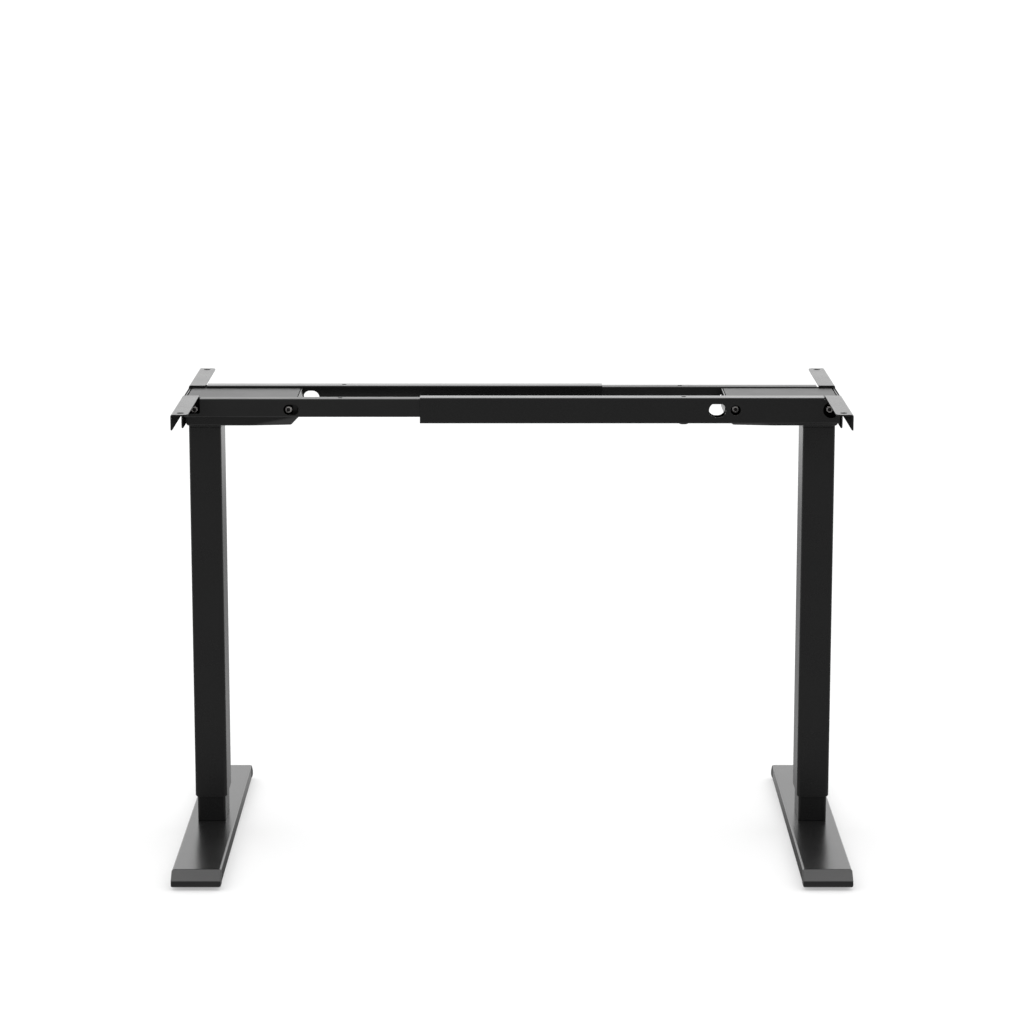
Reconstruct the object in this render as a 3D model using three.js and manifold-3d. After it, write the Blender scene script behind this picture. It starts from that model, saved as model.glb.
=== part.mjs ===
import * as THREE from 'three';
import { mergeVertices } from 'three/addons/utils/BufferGeometryUtils.js';
import Module from 'manifold-3d';

// Height adjustable desk frame with two lifting columns and two telescopic cross rails.
// Millimetres. +X runs to the right, -Y to the front and +Z up. The origin is on the floor,
// midway between the columns. The left half is the right half turned half a turn about Z.

const wasm = await Module();
wasm.setup();

// Driving dimensions of the whole frame, at its lowest height and narrowest storage width.
const topHeight = 711;
const columnX = 475;
const gap = 0.3;

// Feet.
const foot = { width: 74, bottom: 5, top: 28, halfLength: 296.5, wall: 2.5, topRadius: 2.8, bottomRadius: 2 };
const cap = { width: 75.4, end: 316.5, faceTop: 15, bottomRadius: 2.3, spigot: 18 };
const glide = { y: 255, radius: 17, studRadius: 3.9, studTop: 23.5, bossRadius: 7, bossTop: 16 };
const footBolt = { y: 22, headRadius: 6.5, headHeight: 6, shankRadius: 3.9, length: 19, accessRadius: 9 };

// Columns: a wide outer tube on top, a narrower inner tube on the foot.
const outer = { width: 50, depth: 80, wall: 1.8, radius: 5, bottom: 69.6, top: 659 };
const inner = { width: 44, depth: 74, wall: 1.8, radius: 4, top: 645 };
const footBlockHeight = 20;
const collar = { lipBottom: 67.8, lipWidth: 47.5, lipDepth: 77.5, top: 105 };
const topGlide = { bottom: 585, top: 647.5, openWidth: 38, openDepth: 68 };
const head = { top: 663.3, holeRadius: 12 };
const spindle = { radius: 7.6, bottom: 125, top: 689 };
const nut = { bottom: 602, plateBottom: 634, top: 642, bossRadius: 14 };

// Motor box on the column head, with the drive inside it.
const box = {
  innerEnd: 328.5, outerEnd: 505, halfDepth: 49.7, bottom: 663.6, top: 707, wall: 1.6,
  innerChamferX: 12.8, innerChamferZ: 14.2, outerChamferX: 4, outerChamferZ: 7,
};
const cover = { innerEnd: 331.5, outerEnd: 501.5, thickness: 1.8 };
const gearbox = { innerEnd: 440, outerEnd: 498, halfDepth: 35, bottom: 665.6, top: 703, boreTop: 692 };
const motor = { radius: 18, axisZ: 684.5, length: 94.7, bossRadius: 12, bossLength: 4 };

// Cross rails, one tube sliding inside the other.
const wide = { near: 50, far: 74, bottom: 671, top: topHeight, wall: 1.5, radius: 1.5, mouth: -141.5 };
const narrow = { near: 51.8, far: 72.2, bottom: 680.7, top: 709.2, wall: 1.5, radius: 1.5, mouth: -236 };
const railEnd = 503.5;
const cableHole = { x: 315.3, z: 691.5, length: 25.8, height: 22.5 };
const topHole = { x: 264, radius: 3.15 };
const bush = { radius: 6, flangeRadius: 7, bottom: 668.8, top: 709.2 };
const boltSlot = { x: 339, z: 692, length: 24, height: 16 };
const guide = { length: 21, top: 680.4 };

// Bolts through the rails into the motor box, and through the bracket into its end.
const railBolt = { xs: [344, 489], z: 690, headRadius: 5.5, headHeight: 5, shankRadius: 3, holeRadius: 3.4 };
const innerAccess = { x: 343.3, z: 691.5, radius: 7.85 };
const endAccess = { x: 490, z: 692, radius: 12.5 };
const bracketBolt = { y: 30, z: 690, headRadius: 5, headHeight: 2.6, length: 8.8 };

// Side bracket under the table top.
const bracket = {
  outerX: 507.5, sheet: 2.2, flange: 26, halfLength: 236.5, middleCut: 50.4, middleTop: 707,
  endBottom: 687, middleBottom: 663, middleHalf: 75, toothRadius: 6, cornerRadius: 8,
};
const bracketHole = { x: 494, y: 220.5, radius: 5.4 };
const flangeRelief = { x: 479, clear: topHeight - 2.2 - gap, notchBottom: 685.8 };

// Facets round each kind of round shape.
const steps = { hole: 14, screw: 10, round: 18, corner: 2, slot: 6 };

// Finishes.
const finishes = {
  frame_black: { color: 0x2a2a2b, roughness: 0.45, metalness: 0 },
  cap_black: { color: 0x242425, roughness: 0.5, metalness: 0 },
  guide_plastic: { color: 0x1c1c1d, roughness: 0.55, metalness: 0 },
  glide_rubber: { color: 0x18181a, roughness: 0.8, metalness: 0 },
  zinc_steel: { color: 0x9a9890, roughness: 0.4, metalness: 1 },
  gearbox_alloy: { color: 0xa8a9aa, roughness: 0.5, metalness: 1 },
  motor_steel: { color: 0x6f7174, roughness: 0.35, metalness: 1 },
};
const materials = {};
for (const [name, values] of Object.entries(finishes)) {
  materials[name] = new THREE.MeshStandardMaterial(values);
}

// ---- solids: three.js geometry, joined and cut by manifold-3d ----

function solid(geometry) {
  const bare = geometry.index ? geometry.clone() : geometry;
  bare.deleteAttribute('normal');
  bare.deleteAttribute('uv');
  const merged = mergeVertices(bare, 1e-4);
  return new wasm.Manifold(new wasm.Mesh({
    numProp: 3,
    vertProperties: Float32Array.from(merged.attributes.position.array),
    triVerts: Uint32Array.from(merged.index.array),
  }));
}

function toGeometry(body) {
  const mesh = body.getMesh();
  const geometry = new THREE.BufferGeometry();
  geometry.setAttribute('position', new THREE.BufferAttribute(mesh.vertProperties, 3));
  geometry.setIndex(new THREE.BufferAttribute(mesh.triVerts, 1));
  return geometry;
}

function block(x0, x1, y0, y1, z0, z1) {
  const geometry = new THREE.BoxGeometry(x1 - x0, y1 - y0, z1 - z0);
  geometry.translate((x0 + x1) / 2, (y0 + y1) / 2, (z0 + z1) / 2);
  return geometry;
}

// A rectangle with rounded corners between the given sides.
function roundedRectangle(left, right, low, high, radius, lowRadius = radius, target = new THREE.Shape()) {
  target.moveTo(left + lowRadius, low);
  target.lineTo(right - lowRadius, low);
  target.absarc(right - lowRadius, low + lowRadius, lowRadius, -Math.PI / 2, 0, false);
  target.lineTo(right, high - radius);
  target.absarc(right - radius, high - radius, radius, 0, Math.PI / 2, false);
  target.lineTo(left + radius, high);
  target.absarc(left + radius, high - radius, radius, Math.PI / 2, Math.PI, false);
  target.lineTo(left, low + lowRadius);
  target.absarc(left + lowRadius, low + lowRadius, lowRadius, Math.PI, Math.PI * 1.5, false);
  return target;
}

function polygon(points) {
  return new THREE.Shape(points.map(([x, y]) => new THREE.Vector2(x, y)));
}

function extrude(shape, depth, curveSegments) {
  return new THREE.ExtrudeGeometry(shape, { depth, bevelEnabled: false, curveSegments });
}

// Sections drawn in XY, YZ or XZ and swept along the axis that is left.
function sweepZ(shape, z0, z1, curveSegments = steps.corner) {
  return extrude(shape, z1 - z0, curveSegments).translate(0, 0, z0);
}

const sectionYZ = new THREE.Matrix4().makeBasis(
  new THREE.Vector3(0, 1, 0), new THREE.Vector3(0, 0, 1), new THREE.Vector3(1, 0, 0),
);
const sectionXZ = new THREE.Matrix4().makeBasis(
  new THREE.Vector3(1, 0, 0), new THREE.Vector3(0, 0, 1), new THREE.Vector3(0, -1, 0),
);

function sweepX(shape, x0, x1, curveSegments = steps.corner) {
  return extrude(shape, x1 - x0, curveSegments).applyMatrix4(sectionYZ).translate(x0, 0, 0);
}

function sweepY(shape, y0, y1, curveSegments = steps.corner) {
  return extrude(shape, y1 - y0, curveSegments).applyMatrix4(sectionXZ).translate(0, y1, 0);
}

// A round bar along Z, X or Y, given by its centre line and its two ends.
function barZ(x, y, radius, z0, z1, segments = steps.hole) {
  const geometry = new THREE.CylinderGeometry(radius, radius, z1 - z0, segments);
  return geometry.rotateX(Math.PI / 2).translate(x, y, (z0 + z1) / 2);
}

function barX(y, z, radius, x0, x1, segments = steps.hole) {
  const geometry = new THREE.CylinderGeometry(radius, radius, x1 - x0, segments);
  return geometry.rotateZ(Math.PI / 2).translate((x0 + x1) / 2, y, z);
}

function barY(x, z, radius, y0, y1, segments = steps.hole) {
  return new THREE.CylinderGeometry(radius, radius, y1 - y0, segments).translate(x, (y0 + y1) / 2, z);
}

// A hole with round ends, along Y through a rail's walls.
function slotY(hole, y0, y1) {
  const shape = new THREE.Shape();
  const reach = (hole.length - hole.height) / 2;
  const radius = hole.height / 2;
  shape.absarc(hole.x + reach, hole.z, radius, -Math.PI / 2, Math.PI / 2, false);
  shape.absarc(hole.x - reach, hole.z, radius, Math.PI / 2, Math.PI * 1.5, false);
  return sweepY(shape, y0, y1, steps.slot);
}

function cut(geometry, ...cutters) {
  return toGeometry(cutters.reduce((body, cutter) => body.subtract(solid(cutter)), solid(geometry)));
}

function join(geometry, ...others) {
  return toGeometry(others.reduce((body, other) => body.add(solid(other)), solid(geometry)));
}

function lathe(points, segments) {
  const profile = points.map(([radius, height]) => new THREE.Vector2(radius, height));
  return new THREE.LatheGeometry(profile, segments).rotateX(Math.PI / 2);
}

// A rectangular tube or sleeve standing on end at the column.
function columnTube(width, depth, radius, openWidth, openDepth, openRadius, z0, z1) {
  const shape = roundedRectangle(
    columnX - width / 2, columnX + width / 2, -depth / 2, depth / 2, radius,
  );
  shape.holes.push(roundedRectangle(
    columnX - openWidth / 2, columnX + openWidth / 2, -openDepth / 2, openDepth / 2, openRadius,
    openRadius, new THREE.Path(),
  ));
  return sweepZ(shape, z0, z1);
}

function columnBlock(width, depth, radius, z0, z1) {
  const shape = roundedRectangle(
    columnX - width / 2, columnX + width / 2, -depth / 2, depth / 2, radius,
  );
  return sweepZ(shape, z0, z1);
}

// A cap screw with its seat at z = 0, its shank below and its socket on top.
function capScrew({ headRadius, headHeight, shankRadius, length }) {
  return lathe([
    [0, -length],
    [shankRadius, -length],
    [shankRadius, 0],
    [headRadius, 0],
    [headRadius, headHeight],
    [headRadius * 0.5, headHeight],
    [headRadius * 0.5, headHeight * 0.4],
    [0, headHeight * 0.4],
  ], steps.screw);
}

// ---- the feet and what stands on them ----

function footTube() {
  const half = foot.width / 2;
  const shape = roundedRectangle(
    columnX - half, columnX + half, foot.bottom, foot.top, foot.topRadius, foot.bottomRadius,
  );
  const inside = half - foot.wall;
  shape.holes.push(roundedRectangle(
    columnX - inside, columnX + inside, foot.bottom + foot.wall, foot.top - foot.wall,
    foot.topRadius - foot.wall, 0.5, new THREE.Path(),
  ));
  let body = solid(sweepY(shape, -foot.halfLength, foot.halfLength, steps.corner + 1));
  const floor = foot.bottom + foot.wall;
  for (const side of [-1, 1]) {
    const y = side * glide.y;
    body = body.add(solid(barZ(columnX, y, glide.bossRadius, floor - 0.5, glide.bossTop)));
    body = body.subtract(solid(barZ(columnX, y, glide.studRadius + gap, 0, glide.bossTop + 1)));
    const boltY = side * footBolt.y;
    const boltHole = footBolt.shankRadius + gap;
    body = body.subtract(solid(barZ(columnX, boltY, footBolt.accessRadius, 0, floor + 0.5)));
    body = body.subtract(solid(barZ(columnX, boltY, boltHole, foot.top - foot.wall - 1, foot.top + 1)));
  }
  return toGeometry(body);
}

function footCap(side) {
  const seam = side * (foot.halfLength + gap);
  const end = side * cap.end;
  const soft = side * (cap.end - cap.bottomRadius);
  const profile = polygon([
    [seam, foot.bottom], [seam, foot.top], [end, cap.faceTop],
    [end, foot.bottom + cap.bottomRadius], [soft, foot.bottom],
  ]);
  const shell = sweepX(profile, columnX - cap.width / 2, columnX + cap.width / 2);
  const inside = foot.width / 2 - foot.wall - gap;
  const reach = side * (foot.halfLength - cap.spigot);
  const spigotShape = roundedRectangle(
    columnX - inside, columnX + inside, foot.bottom + foot.wall + gap, foot.top - foot.wall - gap,
    foot.topRadius - foot.wall, 0.5,
  );
  const spigotEnds = [reach, seam + side * 0.5].sort((a, b) => a - b);
  return join(shell, sweepY(spigotShape, ...spigotEnds));
}

function levellingGlide(side) {
  const discTop = foot.bottom - gap;
  return lathe([
    [0, 0],
    [glide.radius - 1.5, 0],
    [glide.radius, 1.5],
    [glide.radius, discTop],
    [glide.studRadius, discTop],
    [glide.studRadius, glide.studTop],
    [0, glide.studTop],
  ], steps.round).translate(columnX, side * glide.y, 0);
}

function innerTube() {
  const open = 2 * inner.wall;
  return columnTube(
    inner.width, inner.depth, inner.radius,
    inner.width - open, inner.depth - open, inner.radius - inner.wall,
    foot.top + gap, inner.top,
  );
}

function insideInnerTube(z0, z1) {
  const less = 2 * (inner.wall + gap);
  return columnBlock(inner.width - less, inner.depth - less, inner.radius - inner.wall, z0, z1);
}

function footBlock() {
  const z0 = foot.top + gap;
  const holes = [-1, 1].map((side) => barZ(
    columnX, side * footBolt.y, footBolt.shankRadius + gap, z0 - 1, z0 + footBlockHeight + 1,
  ));
  return cut(insideInnerTube(z0, z0 + footBlockHeight), ...holes);
}

function footBoltAt(side) {
  const seat = foot.top - foot.wall - gap;
  return capScrew(footBolt).rotateX(Math.PI).translate(columnX, side * footBolt.y, seat);
}

function spindleNut() {
  const plate = insideInnerTube(nut.plateBottom, nut.top);
  const boss = barZ(columnX, 0, nut.bossRadius, nut.bottom, nut.plateBottom + 1, steps.round);
  return cut(join(plate, boss), barZ(columnX, 0, spindle.radius + gap, nut.bottom - 1, nut.top + 1, steps.round));
}

// The two slide sleeves fill the space between the tubes, one fixed to each of them.
const sleeveOut = { width: outer.width - 2 * (outer.wall + gap), depth: outer.depth - 2 * (outer.wall + gap) };
const sleeveIn = { width: inner.width + 2 * gap, depth: inner.depth + 2 * gap };

function topSleeve() {
  const body = columnTube(
    sleeveOut.width, sleeveOut.depth, outer.radius - outer.wall,
    sleeveIn.width, sleeveIn.depth, inner.radius, topGlide.bottom, topGlide.top,
  );
  const lip = columnTube(
    sleeveOut.width, sleeveOut.depth, outer.radius - outer.wall,
    topGlide.openWidth, topGlide.openDepth, 1, inner.top + gap, topGlide.top,
  );
  return join(body, lip);
}

// ---- the moving upper part ----

function outerTube() {
  const open = 2 * outer.wall;
  return columnTube(
    outer.width, outer.depth, outer.radius,
    outer.width - open, outer.depth - open, outer.radius - outer.wall, outer.bottom, outer.top,
  );
}

function mouthCollar() {
  const sleeve = columnTube(
    sleeveOut.width, sleeveOut.depth, outer.radius - outer.wall,
    sleeveIn.width, sleeveIn.depth, inner.radius, collar.lipBottom, collar.top,
  );
  const lip = columnTube(
    collar.lipWidth, collar.lipDepth, inner.radius,
    sleeveIn.width, sleeveIn.depth, inner.radius, collar.lipBottom, outer.bottom - gap,
  );
  return join(sleeve, lip);
}

function columnHead() {
  const plate = columnBlock(outer.width, outer.depth, outer.radius, outer.top + gap, head.top);
  return cut(plate, barZ(columnX, 0, head.holeRadius, outer.top, head.top + 1, steps.round));
}

function driveSpindle() {
  return lathe([
    [0, spindle.bottom],
    [spindle.radius - 1.5, spindle.bottom],
    [spindle.radius, spindle.bottom + 1.5],
    [spindle.radius, spindle.top],
    [0, spindle.top],
  ], steps.round).translate(columnX, 0, 0);
}

function gearboxCase() {
  const { innerEnd, outerEnd, halfDepth, bottom, top, boreTop } = gearbox;
  const bore = barZ(columnX, 0, spindle.radius + gap, bottom - 1, boreTop, steps.round);
  return cut(block(innerEnd, outerEnd, -halfDepth, halfDepth, bottom, top), bore);
}

function driveMotor() {
  const end = gearbox.innerEnd - gap;
  const start = end - motor.length;
  const can = barX(0, motor.axisZ, motor.radius, start + motor.bossLength, end, steps.round);
  return join(can, barX(0, motor.axisZ, motor.bossRadius, start, start + motor.bossLength + 1, steps.round));
}

// The box's side outline, moved inwards by the given amount.
function boxOutline(inset, top) {
  const slopeX = inset * 0.35;
  return polygon([
    [box.innerEnd + inset, top],
    [box.innerEnd + inset, box.bottom + box.innerChamferZ + slopeX],
    [box.innerEnd + box.innerChamferX + slopeX, box.bottom + inset],
    [box.outerEnd - box.outerChamferX - slopeX, box.bottom + inset],
    [box.outerEnd - inset, box.bottom + box.outerChamferZ + slopeX],
    [box.outerEnd - inset, top],
  ]);
}

function motorBox() {
  const outside = sweepY(boxOutline(0, box.top), -box.halfDepth, box.halfDepth);
  const depth = box.halfDepth - box.wall;
  let body = solid(outside).subtract(solid(sweepY(boxOutline(box.wall, box.top + 1), -depth, depth)));
  for (const x of railBolt.xs) {
    body = body.add(solid(barY(x, railBolt.z, 6, box.halfDepth - 0.5, narrow.near - gap)));
    body = body.subtract(solid(barY(x, railBolt.z, railBolt.holeRadius, -wide.far, wide.far)));
  }
  for (const side of [-1, 1]) {
    const { y, z } = bracketBolt;
    body = body.subtract(solid(barX(side * y, z, railBolt.holeRadius, box.outerEnd - 5, box.outerEnd + 5)));
  }
  return toGeometry(body.subtract(solid(barZ(columnX, 0, head.holeRadius, 660, 670, steps.round))));
}

function boxCover() {
  const depth = box.halfDepth - box.wall - gap;
  return block(cover.innerEnd, cover.outerEnd, -depth, depth, box.top - cover.thickness, box.top);
}

function sideBracket() {
  const b = bracket;
  const inside = b.outerX - b.sheet;
  const half = b.middleHalf;
  const web = new THREE.Shape();
  web.moveTo(b.halfLength, topHeight);
  web.lineTo(b.middleCut, topHeight);
  web.lineTo(b.middleCut, b.middleTop);
  web.lineTo(-b.middleCut, b.middleTop);
  web.lineTo(-b.middleCut, topHeight);
  web.lineTo(-b.halfLength, topHeight);
  web.lineTo(-b.halfLength, b.endBottom);
  web.lineTo(-half, b.endBottom);
  web.lineTo(-half, b.middleBottom + b.toothRadius);
  web.absarc(-half + b.toothRadius, b.middleBottom + b.toothRadius, b.toothRadius, Math.PI, Math.PI * 1.5);
  web.lineTo(half - b.toothRadius, b.middleBottom);
  web.absarc(half - b.toothRadius, b.middleBottom + b.toothRadius, b.toothRadius, -Math.PI / 2, 0);
  web.lineTo(half, b.endBottom);
  web.lineTo(b.halfLength, b.endBottom);
  let body = solid(sweepX(web, inside, b.outerX));
  for (const side of [-1, 1]) {
    const flange = new THREE.Shape();
    const edge = b.outerX - b.flange;
    const turn = side * (b.halfLength - b.cornerRadius);
    flange.moveTo(b.outerX, side * b.middleCut);
    flange.lineTo(b.outerX, side * b.halfLength);
    flange.lineTo(edge + b.cornerRadius, side * b.halfLength);
    flange.absarc(
      edge + b.cornerRadius, turn, b.cornerRadius, side * Math.PI / 2, Math.PI, side < 0,
    );
    flange.lineTo(edge, side * b.middleCut);
    body = body.add(solid(sweepZ(flange, topHeight - b.sheet, topHeight, steps.corner + 1)));
    body = body.subtract(solid(barZ(
      bracketHole.x, side * bracketHole.y, bracketHole.radius, topHeight - 5, topHeight + 1,
    )));
    body = body.subtract(solid(barX(
      side * bracketBolt.y, bracketBolt.z, railBolt.holeRadius, inside - 1, b.outerX + 1,
    )));
  }
  return toGeometry(body);
}

function bracketBoltAt(side) {
  const screw = capScrew({ ...bracketBolt, shankRadius: railBolt.shankRadius });
  return screw.rotateY(Math.PI / 2).translate(bracket.outerX + gap, side * bracketBolt.y, bracketBolt.z);
}

// A rail's plain tube. The wide rail runs along the front (side -1), the narrow one along the rear (1).
function railTube(rail, side) {
  const low = Math.min(side * rail.near, side * rail.far);
  const high = Math.max(side * rail.near, side * rail.far);
  const shape = roundedRectangle(low, high, rail.bottom, rail.top, rail.radius);
  shape.holes.push(roundedRectangle(
    low + rail.wall, high - rail.wall, rail.bottom + rail.wall, rail.top - rail.wall, 0.4, 0.4,
    new THREE.Path(),
  ));
  return sweepX(shape, rail.mouth, railEnd, 1);
}

function wideRail() {
  const middle = (wide.near + wide.far) / 2;
  const past = wide.far + 1;
  const nearBolts = railBolt.xs.map((x) => barY(x, railBolt.z, railBolt.holeRadius, -middle, -wide.near + 1));
  return cut(
    railTube(wide, -1),
    block(flangeRelief.x, railEnd + 1, -past, -wide.near + 1, flangeRelief.clear, topHeight + 1),
    barY(innerAccess.x, innerAccess.z, innerAccess.radius, -past, -middle),
    barY(endAccess.x, endAccess.z, endAccess.radius, -past, -middle, steps.round),
    slotY(cableHole, -past, -wide.near + 1),
    barZ(topHole.x, -middle, topHole.radius, wide.top - 3, wide.top + 1),
    barZ(topHole.x, -middle, bush.radius + gap, wide.bottom - 1, wide.bottom + 3),
    ...nearBolts,
  );
}

// The narrow rail's inner end, which runs inside the wide rail, is closed by a welded plate.
function narrowRail() {
  const middle = (narrow.near + narrow.far) / 2;
  const past = narrow.far + 1;
  const start = narrow.near - 1;
  const notchX = railEnd + 1;
  const nearBolts = railBolt.xs.map((x) => barY(x, railBolt.z, railBolt.holeRadius, start, middle));
  const plateEdge = narrow.wall / 2;
  const endPlate = block(
    narrow.mouth, narrow.mouth + narrow.wall, narrow.near + plateEdge, narrow.far - plateEdge,
    narrow.bottom + plateEdge, narrow.top - plateEdge,
  );
  return cut(
    join(railTube(narrow, 1), endPlate),
    block(flangeRelief.x, notchX, start, past, flangeRelief.clear, topHeight),
    block(flangeRelief.x, notchX, narrow.near + narrow.wall, past, flangeRelief.notchBottom, topHeight),
    slotY(boltSlot, middle, past),
    barZ(topHole.x, middle, topHole.radius, narrow.top - 3, narrow.top + 1),
    barZ(topHole.x, middle, 8, narrow.bottom - 1, narrow.bottom + 3),
    ...nearBolts,
  );
}

function railBoltAt(rail, side, x) {
  const seat = side * (rail.near + rail.wall + gap);
  const inwards = rail.near + rail.wall + gap - 44;
  const screw = capScrew({ ...railBolt, length: inwards });
  return screw.rotateX(-side * Math.PI / 2).translate(x, seat, railBolt.z);
}

function railGuide() {
  const clear = wide.wall + gap;
  return block(
    wide.mouth, wide.mouth + guide.length, -wide.far + clear, -wide.near - clear,
    wide.bottom + clear, guide.top,
  );
}

function screwBush() {
  const y = -(wide.near + wide.far) / 2;
  const flangeTop = wide.bottom - gap;
  return lathe([
    [topHole.radius, bush.bottom],
    [bush.flangeRadius, bush.bottom],
    [bush.flangeRadius, flangeTop],
    [bush.radius, flangeTop],
    [bush.radius, bush.top],
    [topHole.radius, bush.top],
    [topHole.radius, bush.bottom],
  ], steps.hole).translate(topHole.x, y, 0);
}

// ---- the two halves ----

function halfFrame(side) {
  const group = new THREE.Group();
  const front = side === 'right' ? 'front' : 'rear';
  const rear = side === 'right' ? 'rear' : 'front';
  const put = (name, finish, geometry) => {
    const mesh = new THREE.Mesh(geometry, materials[finish]);
    mesh.name = name;
    group.add(mesh);
  };
  put(`foot_${side}`, 'frame_black', footTube());
  put(`inner_tube_${side}`, 'frame_black', innerTube());
  put(`foot_block_${side}`, 'zinc_steel', footBlock());
  put(`spindle_nut_${side}`, 'zinc_steel', spindleNut());
  put(`top_sleeve_${side}`, 'guide_plastic', topSleeve());
  put(`outer_tube_${side}`, 'frame_black', outerTube());
  put(`mouth_collar_${side}`, 'guide_plastic', mouthCollar());
  put(`column_head_${side}`, 'frame_black', columnHead());
  put(`spindle_${side}`, 'zinc_steel', driveSpindle());
  put(`gearbox_${side}`, 'gearbox_alloy', gearboxCase());
  put(`motor_${side}`, 'motor_steel', driveMotor());
  put(`motor_box_${side}`, 'frame_black', motorBox());
  put(`box_cover_${side}`, 'frame_black', boxCover());
  put(`bracket_${side}`, 'frame_black', sideBracket());
  put(`wide_rail_${front}`, 'frame_black', wideRail());
  put(`narrow_rail_${rear}`, 'frame_black', narrowRail());
  put(`rail_guide_${front}`, 'guide_plastic', railGuide());
  put(`screw_bush_${front}`, 'guide_plastic', screwBush());
  for (const [end, sign] of [[front, -1], [rear, 1]]) {
    put(`foot_cap_${end}_${side}`, 'cap_black', footCap(sign));
    put(`glide_${end}_${side}`, 'glide_rubber', levellingGlide(sign));
    put(`foot_bolt_${end}_${side}`, 'zinc_steel', footBoltAt(sign));
    put(`bracket_bolt_${end}_${side}`, 'zinc_steel', bracketBoltAt(sign));
    const rail = sign < 0 ? wide : narrow;
    put(`rail_bolt_inner_${end}_${side}`, 'zinc_steel', railBoltAt(rail, sign, railBolt.xs[0]));
    put(`rail_bolt_outer_${end}_${side}`, 'zinc_steel', railBoltAt(rail, sign, railBolt.xs[1]));
  }
  return group;
}

const deskFrame = new THREE.Group();
const rightHalf = halfFrame('right');
const leftHalf = halfFrame('left');
leftHalf.rotation.z = Math.PI;
deskFrame.add(rightHalf, leftHalf);

export default deskFrame;
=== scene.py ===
"""Looks of a height adjustable desk frame: two lifting columns on long feet, with sliding cross rails.

Metres, +Z up, front at -Y. Pieces are made for the right half and given half a turn about Z for the left.
"""

import math

import bmesh
import bpy
from mathutils import Matrix, Vector


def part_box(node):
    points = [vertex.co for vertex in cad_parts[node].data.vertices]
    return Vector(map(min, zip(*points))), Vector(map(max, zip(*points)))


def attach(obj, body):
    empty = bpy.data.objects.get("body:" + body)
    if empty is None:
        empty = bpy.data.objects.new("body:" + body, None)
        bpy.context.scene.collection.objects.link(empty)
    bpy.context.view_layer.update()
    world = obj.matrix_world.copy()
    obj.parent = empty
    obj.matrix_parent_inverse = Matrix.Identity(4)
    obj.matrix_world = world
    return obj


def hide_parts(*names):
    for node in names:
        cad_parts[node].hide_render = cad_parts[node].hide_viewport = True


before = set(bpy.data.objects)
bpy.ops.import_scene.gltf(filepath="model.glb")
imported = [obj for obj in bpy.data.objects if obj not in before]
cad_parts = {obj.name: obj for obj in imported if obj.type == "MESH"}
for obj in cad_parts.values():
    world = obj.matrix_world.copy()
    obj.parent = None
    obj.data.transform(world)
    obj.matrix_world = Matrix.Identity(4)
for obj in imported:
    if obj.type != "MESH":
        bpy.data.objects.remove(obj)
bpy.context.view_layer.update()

MM = 0.001
FIT_GAP = 0.3 * MM  # between a piece and the one it bears on
HAIR = 0.02 * MM  # between two shells of one piece
X, Y, Z = Vector((1, 0, 0)), Vector((0, 1, 0)), Vector((0, 0, 1))


# ---- camera, light and floor ----

CAMERA_DISTANCE = 5.078
CAMERA_HEIGHT = 1.497
CAMERA_PITCH = math.radians(10.907)
CAMERA_LENS = 116.1


def add_camera():
    """A long lens, a little above the frame and looking slightly down."""
    data = bpy.data.cameras.new("camera")
    data.lens = CAMERA_LENS
    data.sensor_width = 36
    data.clip_end = 100
    camera = bpy.data.objects.new("camera", data)
    camera.location = (0, -CAMERA_DISTANCE, CAMERA_HEIGHT)
    camera.rotation_euler = (math.pi / 2 - CAMERA_PITCH, 0, 0)
    bpy.context.scene.collection.objects.link(camera)
    bpy.context.scene.camera = camera


# ---- shader graphs ----

class Value:
    """One socket of a shader graph. Arithmetic on it adds Math nodes."""

    def __init__(self, graph, socket):
        self.graph = graph
        self.socket = socket

    def maths(self, operation, first, second):
        return self.graph.add("ShaderNodeMath", {"operation": operation}, {0: first, 1: second})

    def __add__(self, other):
        return self.maths("ADD", self, other)

    def __sub__(self, other):
        return self.maths("SUBTRACT", self, other)

    def __rsub__(self, other):
        return self.maths("SUBTRACT", other, self)

    def __mul__(self, other):
        return self.maths("MULTIPLY", self, other)

    __radd__ = __add__
    __rmul__ = __mul__


class Graph:
    """A node tree that is filled by calls to add."""

    def __init__(self, owner):
        owner.use_nodes = True
        self.tree = owner.node_tree
        self.tree.nodes.clear()

    def add(self, kind, settings=None, inputs=None, output=0):
        node = self.tree.nodes.new(kind)
        for key, value in (settings or {}).items():
            if key == "stops":
                fill_ramp(node.color_ramp, value)
            else:
                setattr(node, key, value)
        for key, value in (inputs or {}).items():
            if isinstance(value, Value):
                self.tree.links.new(value.socket, node.inputs[key])
            else:
                node.inputs[key].default_value = value
        return Value(self, node.outputs[output]) if len(node.outputs) else None

    def noise(self, place, scale, detail=2.0, roughness=0.5):
        inputs = {"Vector": place, "Scale": scale, "Detail": detail, "Roughness": roughness}
        return self.add("ShaderNodeTexNoise", inputs=inputs)

    def range(self, value, low, high, to_low, to_high, smooth=True):
        settings = {"interpolation_type": "SMOOTHSTEP" if smooth else "LINEAR"}
        inputs = {"Value": value, "From Min": low, "From Max": high, "To Min": to_low, "To Max": to_high}
        return self.add("ShaderNodeMapRange", settings, inputs)

    def mix(self, factor, first, second):
        settings = {"data_type": "RGBA", "blend_type": "MIX"}
        return self.add("ShaderNodeMix", settings, {0: factor, 6: first, 7: second}, output=2)


def fill_ramp(ramp, stops):
    while len(ramp.elements) > 1:
        ramp.elements.remove(ramp.elements[-1])
    for number, (place, colour) in enumerate(stops):
        element = ramp.elements[0] if number == 0 else ramp.elements.new(place)
        element.position = place
        element.color = colour


def grey(level, warmth=0.0):
    return (level * (1 + warmth), level, level * (1 - warmth), 1)


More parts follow.
